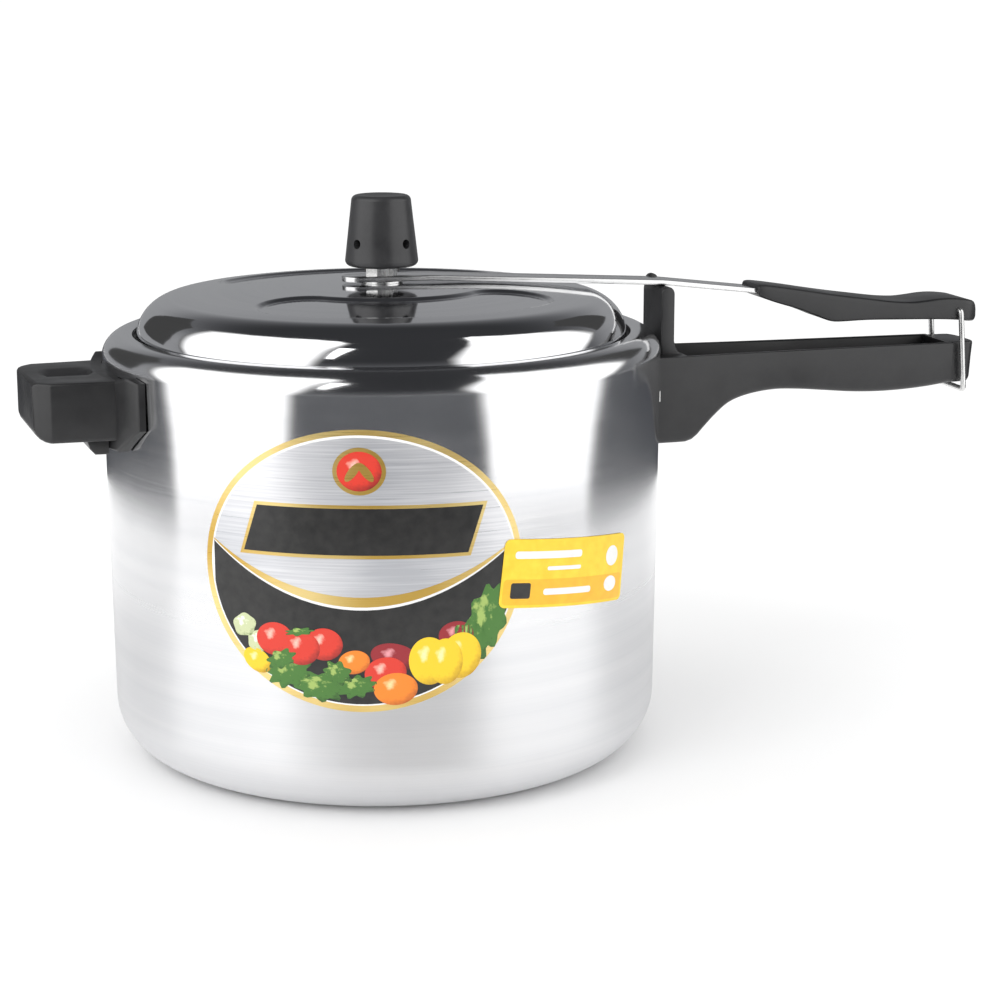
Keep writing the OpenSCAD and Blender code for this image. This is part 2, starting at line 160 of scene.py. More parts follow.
def ramp(tree, fac, stops):
    node = tree.nodes.new("ShaderNodeValToRGB")
    els = node.color_ramp.elements
    while len(els) < len(stops):
        els.new(0.5)
    for el, (pos, col) in zip(els, stops):
        el.position = pos
        el.color = (*col, 1) if len(col) == 3 else col
    tree.links.new(fac, node.inputs["Fac"])
    return node.outputs["Color"]


def objectPoint(tree, scale=(1, 1, 1)):
    coord = tree.nodes.new("ShaderNodeTexCoord")
    mapping = addNode(tree, "ShaderNodeMapping")
    mapping.inputs["Scale"].default_value = scale
    tree.links.new(coord.outputs["Object"], mapping.inputs["Vector"])
    return mapping.outputs["Vector"]


def noiseOf(tree, vector, scale, detail=2.0, rough=0.5):
    node = tree.nodes.new("ShaderNodeTexNoise")
    node.inputs["Scale"].default_value = scale
    node.inputs["Detail"].default_value = detail
    node.inputs["Roughness"].default_value = rough
    tree.links.new(vector, node.inputs["Vector"])
    return node.outputs["Fac"]


def mathOf(tree, operation, a, b=None, c=None):
    node = tree.nodes.new("ShaderNodeMath")
    node.operation = operation
    for socket, value in zip(node.inputs, (a, b, c)):
        if value is None:
            continue
        if isinstance(value, (int, float)):
            socket.default_value = value
        else:
            tree.links.new(value, socket)
    return node.outputs[0]


def rangeOf(tree, value, low, high, toLow, toHigh, smooth=False):
    node = tree.nodes.new("ShaderNodeMapRange")
    if smooth:
        node.interpolation_type = "SMOOTHSTEP"
    for key, v in (("From Min", low), ("From Max", high), ("To Min", toLow), ("To Max", toHigh)):
        node.inputs[key].default_value = v
    tree.links.new(value, node.inputs["Value"])
    return node.outputs["Result"]


def bumpOf(tree, height, strength, distance, normal=None):
    node = tree.nodes.new("ShaderNodeBump")
    node.inputs["Strength"].default_value = strength
    node.inputs["Distance"].default_value = distance
    tree.links.new(height, node.inputs["Height"])
    if normal is not None:
        tree.links.new(normal, node.inputs["Normal"])
    return node.outputs["Normal"]


def spunPoint(tree, across, along):
    # lines that run round the pot: fine across the radius and height, slow round the turn
    coord = tree.nodes.new("ShaderNodeTexCoord")
    split = tree.nodes.new("ShaderNodeSeparateXYZ")
    tree.links.new(coord.outputs["Object"], split.inputs[0])
    x, y, z = split.outputs
    radius = mathOf(tree, "SQRT", mathOf(tree, "ADD", mathOf(tree, "MULTIPLY", x, x),
                                         mathOf(tree, "MULTIPLY", y, y)))
    join = tree.nodes.new("ShaderNodeCombineXYZ")
    tree.links.new(mathOf(tree, "MULTIPLY_ADD", radius, across, mathOf(tree, "MULTIPLY", x, along)),
                   join.inputs[0])
    tree.links.new(mathOf(tree, "MULTIPLY", z, across), join.inputs[1])
    tree.links.new(mathOf(tree, "MULTIPLY", y, along), join.inputs[2])
    return join.outputs[0], radius, z


spunMetal = {"bright": (0.85, 0.85, 0.86), "dull": (0.78, 0.785, 0.80), "lineGap": 2600.0, "lineSlow": 9.0}


def spunAluminium(name, roughLow, roughHigh, satinBelow=None, lines=0.02):
    mat, tree, bsdf = newFinish(name)
    link = tree.links.new
    spun, radius, z = spunPoint(tree, spunMetal["lineGap"], spunMetal["lineSlow"])
    fine = noiseOf(tree, spun, 1.0, 3.0, 0.6)
    broad, _, _ = spunPoint(tree, 160.0, 3.0)
    bands = noiseOf(tree, broad, 1.0, 2.0)
    cloud = noiseOf(tree, objectPoint(tree), 26.0, 3.0)
    tone = mathOf(tree, "ADD", mathOf(tree, "MULTIPLY", fine, 0.35), mathOf(tree, "MULTIPLY", bands, 0.65))
    link(ramp(tree, tone, [(0.3, spunMetal["dull"]), (0.62, spunMetal["bright"])]), bsdf.inputs["Base Color"])
    rough = rangeOf(tree, mathOf(tree, "ADD", mathOf(tree, "MULTIPLY", cloud, 0.5),
                                 mathOf(tree, "MULTIPLY", fine, 0.5)), 0.3, 0.7, roughLow, roughHigh)
    if satinBelow:
        satin = rangeOf(tree, z, satinBelow * 0.4, satinBelow, 0.25, 0.0, True)
        rough = mathOf(tree, "ADD", rough, satin)
        tangent = tree.nodes.new("ShaderNodeTangent")  # turned marks smear the reflections up and down
        tangent.direction_type = "RADIAL"
        tangent.axis = "Z"
        link(tangent.outputs[0], bsdf.inputs["Tangent"])
        bsdf.inputs["Anisotropic"].default_value = 0.85
        bsdf.inputs["Anisotropic Rotation"].default_value = 0.25
    link(rough, bsdf.inputs["Roughness"])
    bsdf.inputs["Metallic"].default_value = 1.0
    first = bumpOf(tree, fine, lines, 0.0002)
    waves = noiseOf(tree, objectPoint(tree, (1, 1, 1)), 14.0, 1.0)
    link(bumpOf(tree, waves, 0.02, 0.002, first), bsdf.inputs["Normal"])
    return mat


def mouldedBlack(name, tone=0.012, roughLow=0.28, roughHigh=0.44):
    mat, tree, bsdf = newFinish(name)
    link = tree.links.new
    point = objectPoint(tree)
    cloud = noiseOf(tree, point, 45.0, 4.0, 0.6)
    grain = noiseOf(tree, point, 1700.0, 2.0)
    link(ramp(tree, cloud, [(0.3, (tone, tone, tone * 1.08)), (0.7, (tone * 2.0, tone * 2.0, tone * 2.1))]),
         bsdf.inputs["Base Color"])
    link(rangeOf(tree, cloud, 0.3, 0.7, roughLow, roughHigh), bsdf.inputs["Roughness"])
    flow = noiseOf(tree, objectPoint(tree, (0.3, 1, 1)), 60.0, 2.0)
    soft = bumpOf(tree, flow, 0.08, 0.001)
    link(bumpOf(tree, grain, 0.10, 0.0001, soft), bsdf.inputs["Normal"])
    return mat


def brushedSteel(name, stretch, colour=(0.78, 0.78, 0.77), roughLow=0.16, roughHigh=0.3):
    mat, tree, bsdf = newFinish(name)
    link = tree.links.new
    brush = noiseOf(tree, objectPoint(tree, stretch), 1.0, 3.0, 0.6)
    cloud = noiseOf(tree, objectPoint(tree), 90.0, 3.0)
    dull = tuple(c * 0.84 for c in colour)
    link(ramp(tree, mathOf(tree, "ADD", mathOf(tree, "MULTIPLY", brush, 0.6),
                           mathOf(tree, "MULTIPLY", cloud, 0.4)), [(0.32, dull), (0.6, colour)]),
         bsdf.inputs["Base Color"])
    link(rangeOf(tree, brush, 0.3, 0.7, roughLow, roughHigh), bsdf.inputs["Roughness"])
    bsdf.inputs["Metallic"].default_value = 1.0
    link(bumpOf(tree, brush, 0.12, 0.0002), bsdf.inputs["Normal"])
    return mat


def softRubber(name, colour, grainScale=900.0):
    mat, tree, bsdf = newFinish(name)
    link = tree.links.new
    point = objectPoint(tree)
    cloud = noiseOf(tree, point, 60.0, 3.0)
    dark = tuple(c * 0.7 for c in colour)
    link(ramp(tree, cloud, [(0.3, dark), (0.7, colour)]), bsdf.inputs["Base Color"])
    link(rangeOf(tree, cloud, 0.3, 0.7, 0.5, 0.7), bsdf.inputs["Roughness"])
    link(bumpOf(tree, noiseOf(tree, point, grainScale, 2.0), 0.15, 0.0002), bsdf.inputs["Normal"])
    return mat


potMetal = spunAluminium("potMetal", 0.11, 0.17, satinBelow=0.115)
lidMetal = spunAluminium("lidMetal", 0.05, 0.10)
bakelite = mouldedBlack("bakelite")
weightPlastic = mouldedBlack("weightPlastic", 0.022, 0.28, 0.4)
zincWire = brushedSteel("zincWire", (300, 300, 60), (0.80, 0.80, 0.79), 0.2, 0.34)
barSteel = brushedSteel("barSteel", (30, 1500, 1500), (0.80, 0.80, 0.80), 0.12, 0.24)
sealRubber = softRubber("sealRubber", (0.05, 0.05, 0.055))
plugRubber = softRubber("plugRubber", (0.05, 0.045, 0.045))

nodeFinish = {"gasket": sealRubber, "vent_seal": sealRubber, "safety_plug": plugRubber, "pot_body": potMetal,
              "lid_shell": lidMetal, "long_handle": bakelite, "helper_handle": bakelite, "upper_grip": bakelite,
              "weight_cap": weightPlastic, "lever_bar": barSteel}
for nodeName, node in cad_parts.items():
    for matSlot in node.material_slots:
        matSlot.material = nodeFinish.get(nodeName, zincWire)
print("finishes made")


# pot

pot = {"taper": 1.7, "cornerR": 25.0, "shoulderR": 9.65, "wall": 2.5, "base": 3.0, "lip": 2.5, "lipWidth": 13.2,
       "turns": 288}


def wallRadius(z):
    # outside of the wall at height z
    low, high = pot["cornerR"], lipZ - pot["shoulderR"]
    return wallR - pot["taper"] * (high - min(max(z, low), high)) / (high - low)


def makePot():
    cr, sr, w = pot["cornerR"], pot["shoulderR"], pot["wall"]
    lowR = wallR - pot["taper"]
    mouth = wallR - pot["lipWidth"]
    profile = [(0, 0.35), (60, 0.35), (62, 0), (lowR - cr, 0)]
    profile += arcPoints(lowR - cr, cr, cr, -90, 0, 18)[1:]
    for i in range(1, 8):
        z = cr + (lipZ - sr - cr) * i / 8
        profile.append((wallRadius(z), z))
    profile += arcPoints(wallR - sr, lipZ - sr, sr, 0, 90, 14)
    profile += arcPoints(mouth + 0.9, lipZ - 0.9, 0.9, 90, 180, 5)
    profile += arcPoints(mouth + 0.9, lipZ - pot["lip"] + 0.9, 0.9, 180, 270, 5)
    profile += arcPoints(wallR - sr, lipZ - sr, sr - w, 90, 0, 10)
    for i in range(7, 0, -1):
        z = cr + (lipZ - sr - cr) * i / 8
        profile.append((wallRadius(z) - w, z))
    profile += arcPoints(lowR - cr, cr, cr - w, 0, -78, 14)
    profile.append((lowR - cr, pot["base"]))
    profile.append((0, pot["base"]))
    bm = turnProfile(bmesh.new(), profile, pot["turns"], closed=False)
    return finishPiece("potShell", bm, potMetal, "pot", ["pot_body"], sharp=50)


makePot()
print("pot made")


# lid

lid = {"gap": 1.5, "rise": 19.8, "edgeR": 17.5, "sheet": 2.2, "crownR": 820.0, "recess": 1.3, "recessMid": 62.8,
       "recessHalf": 17.5, "recessEdge": 2.2, "turns": 360, "ventHole": 5.1}
lidR = wallR - pot["lipWidth"] - lid["gap"]
crownZ = lipZ + lid["rise"]
edgeX = lidR - lid["edgeR"]
edgeZ = crownZ - lid["crownR"] + math.sqrt((lid["crownR"] - lid["edgeR"]) ** 2 - edgeX ** 2)


def recessDepth(x, y):
    # how far the stamped kidney shapes go down at a place on the lid
    best = 1e9
    for side in (-1, 1):
        along = math.degrees(math.atan2(x, -y * side))
        r = math.hypot(x, y)
        if abs(along) <= 45:
            d = abs(r - lid["recessMid"])
        else:
            a = math.radians(math.copysign(45, along))
            d = math.hypot(x - lid["recessMid"] * math.sin(a), y * side + lid["recessMid"] * math.cos(a))
        best = min(best, d)
    t = (lid["recessHalf"] - best) / lid["recessEdge"] + 0.5
    t = min(max(t, 0), 1)
    return lid["recess"] * t * t * (3 - 2 * t)


def crownHeight(r, sink=0.0):
    return crownZ - lid["crownR"] + math.sqrt((lid["crownR"] - sink) ** 2 - r * r)


def makeLid():
    t = lid["sheet"]
    a = math.degrees(math.asin(edgeX / (lid["crownR"] - lid["edgeR"])))
    crownEdge = edgeX + lid["edgeR"] * math.sin(math.radians(a))
    radii = [lid["ventHole"], 12, 20, 28, 36, 40] + [41 + i * 0.9 for i in range(49)]
    radii = [r for r in radii if r < crownEdge - 0.5]
    flangeZ = lipZ - 9.2
    outer = [(r, crownHeight(r)) for r in radii]
    outer += arcPoints(edgeX, edgeZ, lid["edgeR"], 90 - a, 0, 20)
    outer += [(lidR, flangeZ + 3), (lidR, flangeZ + 0.6), (lidR + 0.6, flangeZ)]
    outer += arcPoints(lidR + 7.5 - 1.1, flangeZ - 1.15, 1.15, 90, -90, 8)
    inner = [(lidR - t + 0.8, flangeZ - 2.3), (lidR - t, flangeZ - 1.5), (lidR - t, edgeZ)]
    inner += arcPoints(edgeX, edgeZ, lid["edgeR"] - t, 0, 90 - a, 16)[1:]
    inner += [(r, crownHeight(r, t)) for r in reversed(radii)]
    bm = turnProfile(bmesh.new(), outer + inner, lid["turns"])
    for v in bm.verts:
        if v.co.z > lipZ + 10:
            v.co.z -= recessDepth(v.co.x, v.co.y)
    return finishPiece("lidDome", bm, lidMetal, "lid", ["lid_shell"], sharp=60)


makeLid()
print("lid made")


# long handle and its post

longHandle = {"length": 156.0, "rim": -15.5, "wall": 2.8, "floor": 3.0, "footDrop": -54.4, "cornerR": 3.6}


def handleUnder(x):
    # underside of the handle, from the wall and the lip
    if x < 13.4:
        return longHandle["footDrop"]
    return smoothAt(x, [(13.4, -54.4), (17.5, -53.0), (22, -48.6), (27, -43.7), (34, -38.1), (43, -34.9), (56, -33.2),
                        (69, -33.7), (82, -34.95), (95, -36.2), (108, -36.7), (120, -36.45), (132, -35.6),
                        (143.5, -34.3), (150, -34.2), (156, -34.2)])


def handleHalf(x):
    return smoothAt(x, [(0, 20.4), (13.5, 19.8), (28, 18.6), (58, 17.2), (97, 16.2), (143.5, 15.0), (156, 14.7)])


def channelRing(x, floorZ, xOf=None):
    # (x, y, z) round a U section: outside, rims and the inside of the channel
    half, low, top = handleHalf(x), handleUnder(x), longHandle["rim"]
    w, rc = longHandle["wall"], longHandle["cornerR"]
    draft = 0.9
    rim = 0.7
    inner = half - w
    depth = max(top - floorZ, 0.02)
    ri = min(2.2, depth * 0.45)
    ring = arcPoints(-half + draft + rc, low + rc, rc, 180, 270, 5)
    ring += arcPoints(half - draft - rc, low + rc, rc, 270, 360, 5)
    ring += [(half - 0.5 * draft, (low + top) / 2)]
    ring += arcPoints(half - rim, top - rim, rim, 0, 90, 3)
    ring += arcPoints(inner + rim, top - min(rim, depth), min(rim, depth), 90, 180, 3)
    ring += arcPoints(inner - ri - 0.4, floorZ + ri, ri, 0, -90, 3)
    ring += arcPoints(-inner + ri + 0.4, floorZ + ri, ri, 270, 180, 3)
    ring += arcPoints(-inner - rim, top - min(rim, depth), min(rim, depth), 0, 90, 3)
    ring += arcPoints(-half + rim, top - rim, rim, 90, 180, 3)
    ring += [(-half + 0.5 * draft, (low + top) / 2)]
    place = xOf or (lambda y, z: x)
    return [(wallR + place(y, z), y, lipZ + z) for y, z in ring]


def footX(y, z):
    # where the handle's foot meets the pot
    return math.sqrt((wallR + 0.35) ** 2 - y * y) - wallR


def makeLongHandle():
    bm = bmesh.new()
    top = longHandle["rim"]
    rings = [channelRing(0.5, top - 0.02, footX)]
    for x in (4, 8, 11, 13.6):
        rings.append(channelRing(x, top - 0.02))
    x = 14.0
    while x < 140.6:
        rings.append(channelRing(x, handleUnder(x) + longHandle["floor"]))
        x += 2.5
    rings.append(channelRing(140.7, handleUnder(140.7) + longHandle["floor"]))
    rings.append(channelRing(141.0, top - 0.02))
    rings.append(channelRing(143.0, top - 0.02))
    loftRings(bm, rings)
    finishPiece("longHandle", bm, bakelite, "pot", ["long_handle"], sharp=32)

    # the narrower tip that the bail passes round
    bm = bmesh.new()
    rings = []
    for x, half in ((142.6, 13.1), (150.8, 13.1), (152.6, 12.6), (154.2, 11.4), (155.3, 9.6), (155.9, 7.2)):
        low = handleUnder(x) + max(x - 151.5, 0) ** 2 * 0.14
        rings.append([(wallR + x - (1.4 if z < low + 9 else 0) * max(x - 151, 0) / 5, y, lipZ + z)
                      for y, z in roundedSection(half, low, top - max(x - 153, 0) * 0.12, 2.4, 1.0)])
    loftRings(bm, rings)
    finishPiece("handleTip", bm, bakelite, "pot", ["long_handle"], sharp=40)

    # rib across the channel
    bm = bmesh.new()
    low = handleUnder(41) + 2.5
    rings = [[(wallR + x, y, lipZ + z) for y, z in roundedSection(handleHalf(41) - 1.6, low, low + 8, 0.4, 0.9, 3)]
             for x in (40, 42.6)]
    loftRings(bm, rings)
    finishPiece("channelRib", bm, bakelite, "pot", ["long_handle"])


post = {"x0": 3.0, "x1": 9.3, "half": 12.5, "roundR": 3.15, "top": 14.5}


def makePost():
    bm = bmesh.new()
    cz = post["top"] - post["roundR"]
    midX = (post["x0"] + post["x1"]) / 2
    side = [(post["x0"], -19.0), (post["x0"], cz)]
    side = [(post["x0"], -19.0)] + arcPoints(midX, cz, post["roundR"], 180, 0, 12)
    side += [(post["x1"], -9.5), (post["x1"] + 0.7, -12.5), (post["x1"] + 2.2, -14.6), (post["x1"] + 4.4, -15.7),
             (post["x1"] + 4.4, -19.0)]
    verts = [bm.verts.new((wallR + x, -post["half"], lipZ + z)) for x, z in side]
    face = bm.faces.new(verts)
    made = bmesh.ops.extrude_face_region(bm, geom=[face])["geom"]
    bmesh.ops.translate(bm, vec=(0, 2 * post["half"], 0), verts=[v for v in made if isinstance(v, bmesh.types.BMVert)])
    rims = [e for e in bm.edges if abs(e.verts[0].co.y - e.verts[1].co.y) < 0.01]
    bmesh.ops.bevel(bm, geom=rims, offset=0.8, affect="EDGES", segments=3, profile=0.5, material=-1,
                    clamp_overlap=True)
    finishPiece("leverPost", bm, bakelite, "pot", ["long_handle"], sharp=32)

    # the little stop on the far side
    bm = bmesh.new()
    side = [(3.6, 4.0)] + arcPoints(6.15, 15.5, 2.5, 180, 0, 10) + [(8.7, 4.0)]
    face = bm.faces.new([bm.verts.new((wallR + x, 8.6, lipZ + z)) for x, z in side])
    made = bmesh.ops.extrude_face_region(bm, geom=[face])["geom"]
    bmesh.ops.translate(bm, vec=(0, 3.8, 0), verts=[v for v in made if isinstance(v, bmesh.types.BMVert)])
    rims = [e for e in bm.edges if abs(e.verts[0].co.y - e.verts[1].co.y) < 0.01]
    bmesh.ops.bevel(bm, geom=rims, offset=0.5, affect="EDGES", segments=2, profile=0.5, material=-1,
                    clamp_overlap=True)
    finishPiece("postStop", bm, bakelite, "pot", ["long_handle"], sharp=32)


makeLongHandle()
makePost()
print("long handle made")


# helper handle

helper = {"length": 34.0, "top": -12.4, "low": -37.0, "turn": 3.0}


def turnHelper(bm):
    # it sits a little round from straight opposite the long handle
    bmesh.ops.rotate(bm, cent=(0, 0, 0), matrix=Matrix.Rotation(math.radians(helper["turn"]), 3, "Z"), verts=bm.verts)


def makeHelper():
    # the block that the fingers hold, from the wall outwards
    bm = bmesh.new()
    rings = []
    top, low = helper["top"], helper["low"]

    def blockRing(x, half, zLow, zHigh, rl, rh, hug=False):
        pts = roundedSection(half, zLow, zHigh, rl, rh, 4)
        return [(-(math.sqrt((wallR + 2.0) ** 2 - y * y) if hug else wallR + x), y, lipZ + z) for y, z in pts]

    rings.append(blockRing(2, 29.9, low, top, 1.2, 1.2, True))
    for x, half, zl, zh in ((5.5, 29.5, low, top), (16, 28.9, low, top), (27.0, 28.3, low, top),
                            (27.9, 27.8, low, top), (29.8, 26.2, low + 0.4, top), (31.8, 24.5, low + 1.5, top - 0.1),
                            (33.3, 23.1, low + 3.2, top - 0.5), (34.0, 22.2, low + 5.2, top - 1.2)):
        rings.append(blockRing(x, half, zl, zh, 1.6, 1.3))
    loftRings(bm, rings)
    # finger dish, pressed into the top
    fresh = [f for f in bm.faces if f.normal.z > 0.9 or f.calc_center_median().z > lipZ + top - 0.1]
    edges = list({e for f in fresh for e in f.edges})
    bmesh.ops.subdivide_edges(bm, edges=edges, cuts=11, use_grid_fill=True)
    for v in bm.verts:
        if v.co.z > lipZ + top - 0.3:
            px = min(max(-v.co.x - wallR, 12), 21)
            d = math.hypot(-v.co.x - wallR - px, v.co.y)
            t = min(max((7.6 - d) / 4.6, 0), 1)
            v.co.z -= 3.0 * t * t * (3 - 2 * t)
    turnHelper(bm)
    finishPiece("helperBlock", bm, bakelite, "pot", ["helper_handle"], sharp=30)

    # the flange that hugs the wall, with cut corners
    bm = bmesh.new()
    outline = [(-44, -31), (-30, -41.5), (30, -41.5), (44, -31), (44, -11.5), (37, -10.0), (28, -12.4), (-28, -12.4),
               (-37, -10.0), (-44, -11.5)]
    bm.faces.new([bm.verts.new((0, y, z)) for y, z in outline])
    for step in range(-40, 44, 4):
        bmesh.ops.bisect_plane(bm, geom=bm.verts[:] + bm.edges[:] + bm.faces[:], plane_co=(0, step, 0),
                               plane_no=(0, 1, 0), dist=0.001)
    made = bmesh.ops.extrude_face_region(bm, geom=bm.faces[:])["geom"]
    bmesh.ops.translate(bm, vec=(6, 0, 0), verts=[v for v in made if isinstance(v, bmesh.types.BMVert)])
    rims = [e for e in bm.edges if len(e.link_faces) == 2 and e.calc_face_angle(0) > 0.5
            and min(v.co.x for v in e.verts) > 5.9]
    bmesh.ops.bevel(bm, geom=rims, offset=1.3, affect="EDGES", segments=3, profile=0.5, material=-1, clamp_overlap=True)
    for v in bm.verts:
        lift = v.co.x * (1.0 - 0.5 * min(abs(v.co.y) / 44, 1) ** 3)
        v.co = Vector((-math.sqrt((wallR + 0.35) ** 2 - v.co.y ** 2) - lift, v.co.y, lipZ + v.co.z))
    turnHelper(bm)
    finishPiece("helperFlange", bm, bakelite, "pot", ["helper_handle"], sharp=30)

    # a rib below
    bm = bmesh.new()
    rings = [[(-(wallR + x), y, lipZ + z) for y, z in roundedSection(24.4, zl, low + 1, 1.0, 0.3, 3)]
             for x, zl in ((4, -43.4), (9.5, -43.3), (11.6, -41.0), (12.8, -37.6))]
    loftRings(bm, rings)
    turnHelper(bm)
    finishPiece("helperRib", bm, bakelite, "pot", ["helper_handle"], sharp=30)


makeHelper()
print("helper handle made")


# lever bar, grip and bail

barLow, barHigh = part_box("lever_bar")
lever = {"half": 7.75, "thick": 2.2, "left": -17.5, "bendX": 20.0, "postX": wallR + 6.15, "slope": 0.12,
         "end": wallR + 82.0, "nose": wallR + 50.0, "topLeft": barHigh[2] * 1000,
         "topPost": lipZ + post["top"] + 0.3 + 2.2}


def barTop(x):
    # top face of the bar, eased at its two bends
    def line(u):
        if u < lever["bendX"]:
            return lever["topLeft"]
        if u < lever["postX"]:
            return lever["topLeft"] + (lever["topPost"] - lever["topLeft"]) * (u - lever["bendX"]) / (
                lever["postX"] - lever["bendX"])
        past = max(u - lever["nose"], 0)
        return lever["topPost"] - lever["slope"] * (u - lever["postX"]) - 0.045 * past
    return sum(line(x + d) for d in (-3, -1.5, 0, 1.5, 3)) / 5 if abs(x - lever["bendX"]) < 9 else line(x)


def makeBar():
    bm = bmesh.new()
    centre = lever["left"] + lever["half"]
    stations = [centre - lever["half"] * math.cos(math.radians(a)) for a in (4, 10, 18, 27, 36, 46, 56, 66, 78, 90)]
    x = centre + 3
    while x < lever["end"] - 0.5:
        stations.append(x)
        x += 3.0
    stations.append(lever["end"])
    rings = []
    for x in stations:
        half = lever["half"]
        if x < centre:
            half = math.sqrt(max(lever["half"] ** 2 - (x - centre) ** 2, 0.05))
        top = barTop(x)
        rings.append([(x, y, z) for y, z in roundedSection(half, top - lever["thick"], top, 0.35, 0.35, 3)])
    loftRings(bm, rings)
    return finishPiece("leverBar", bm, barSteel, "lid", ["lever_bar"], sharp=35)


gripZ = lipZ
grip = {"top": [(49.4, 13.4), (52, 13.6), (65.8, 11.6), (78, 9.5), (90.4, 7.5), (102.7, 5.75), (112, 4.45), (118, 3.85),
                (124, 3.6), (130, 4.0), (136, 4.6), (142, 4.75), (148, 4.25), (152, 3.6), (155, 2.5),
                (156.4, 1.0), (157, -1.0)],
        "low": [(49.4, 9.0), (51, 8.0), (54, 6.8), (58, 5.4), (68, 2.3), (78, -1.5), (83, -3.5), (87, -4.2),
                (102, -3.95), (118, -4.3), (136, -4.8), (146, -5.4), (154, -6.3), (157, -5.4)],
        "half": [(49.4, 10.6), (51, 11.0), (60, 11.4), (100, 12.5), (148, 13.9), (151, 13.6), (154, 12.2),
                 (156, 10.0), (157, 8.2)]}


def makeGrip():
    bm = bmesh.new()
    xs = [49.4, 49.9]
    x = 51.0
    while x < 153:
        xs.append(x)
        x += 1.6
    xs += [154, 155, 155.8, 156.5, 157]
    rings = []
    for x in xs:
        half, top, low = (smoothAt(x, grip[k]) for k in ("half", "top", "low"))
        shrink = 0.5 if x < 49.6 else 0.0
        rings.append([(wallR + x, y, gripZ + z) for y, z in
                      roundedSection(half - shrink, low + shrink, top - shrink, 1.4, 2.2)])
    loftRings(bm, rings)
    return finishPiece("leverGrip", bm, bakelite, "lid", ["upper_grip"], sharp=30)


bail = {"r": 1.25, "pivotX": wallR + 146.0, "pivotZ": lipZ - 0.6, "footX": wallR + 148.5, "footZ": lipZ - 37.0,
        "innerY": 6.0, "topY": 15.7, "lowY": 16.1, "bendR": 2.4}


def roundedPath(points, r, steps=6):
    # a path with its corners rounded
    path = [Vector(points[0])]
    for a, b, c in zip(points, points[1:], points[2:]):
        a, b, c = Vector(a), Vector(b), Vector(c)
        start, end = b + (a - b).normalized() * r, b + (c - b).normalized() * r
        for i in range(steps + 1):
            t = i / steps
            path.append(start.lerp(b, t).lerp(b.lerp(end, t), t))
    path.append(Vector(points[-1]))
    return path


def tubeRings(path, r, sides=16):
    rings = []
    side = None
    for i, p in enumerate(path):
        ahead = (path[min(i + 1, len(path) - 1)] - path[max(i - 1, 0)]).normalized()
        if side is None:
            side = ahead.orthogonal().normalized()
        side = (side - ahead * side.dot(ahead)).normalized()
        other = ahead.cross(side)
        rings.append([tuple(p + (side * math.cos(a) + other * math.sin(a)) * r)
                      for a in (2 * math.pi * k / sides for k in range(sides))])
    return rings


def makeBail():
    b = bail
    pivotX, pivotZ, footX, footZ = b["pivotX"], b["pivotZ"], b["footX"], b["footZ"]
    corners = [(pivotX, -b["innerY"], pivotZ), (pivotX, -b["topY"], pivotZ), (footX, -b["lowY"], footZ),
               (footX, b["lowY"], footZ), (pivotX, b["topY"], pivotZ), (pivotX, b["innerY"], pivotZ)]
    bm = loftRings(bmesh.new(), tubeRings(roundedPath(corners, b["bendR"]), b["r"]))
    return finishPiece("bailWire", bm, zincWire, "bail", ["lock_wire"], sharp=50)


makeBar()
makeGrip()
makeBail()
print("lever made")


# labels

def printInk(name, stops, roughness=0.35, metallic=0.0, scale=220.0):
    # a printed colour with a little mottling
    mat, tree, bsdf = newFinish(name)
    link = tree.links.new
    point = objectPoint(tree)
    cloud = noiseOf(tree, point, scale, 3.0)
    link(ramp(tree, cloud, stops), bsdf.inputs["Base Color"])
    wear = noiseOf(tree, point, 40.0)
    link(rangeOf(tree, wear, 0.3, 0.7, roughness * 0.85, roughness * 1.15), bsdf.inputs["Roughness"])
    bsdf.inputs["Metallic"].default_value = metallic
    bsdf.inputs["Coat Weight"].default_value = 0.25
    bsdf.inputs["Coat Roughness"].default_value = 0.2
    link(bumpOf(tree, noiseOf(tree, point, 900.0), 0.05, 0.0001), bsdf.inputs["Normal"])
    return mat


def fruitInk(name, light, body, edge, leafy=False):
    # a printed round fruit: its own map carries the shading
    mat, tree, bsdf = newFinish(name)
    link = tree.links.new
    coord = tree.nodes.new("ShaderNodeTexCoord")
    mapping = tree.nodes.new("ShaderNodeMapping")
    mapping.inputs["Location"].default_value = (-0.38, -0.66, 0)
    link(coord.outputs["UV"], mapping.inputs["Vector"])
    dist = tree.nodes.new("ShaderNodeVectorMath")
    dist.operation = "LENGTH"
    link(mapping.outputs["Vector"], dist.inputs[0])
    grain = noiseOf(tree, coord.outputs["UV"], 7.0, 3.0)
    fac = mathOf(tree, "MULTIPLY_ADD", grain, 0.28 if not leafy else 0.9, mathOf(tree, "ADD", dist.outputs["Value"],
                                                                              -0.14 if not leafy else -0.5))
    link(ramp(tree, fac, [(0.04, light), (0.17, body), (0.48, body), (0.74, edge)]), bsdf.inputs["Base Color"])
    bsdf.inputs["Roughness"].default_value = 0.35
    bsdf.inputs["Coat Weight"].default_value = 0.25
    bsdf.inputs["Coat Roughness"].default_value = 0.2
    link(rangeOf(tree, grain, 0.3, 0.7, 0.3, 0.42), bsdf.inputs["Roughness"])
    return mat


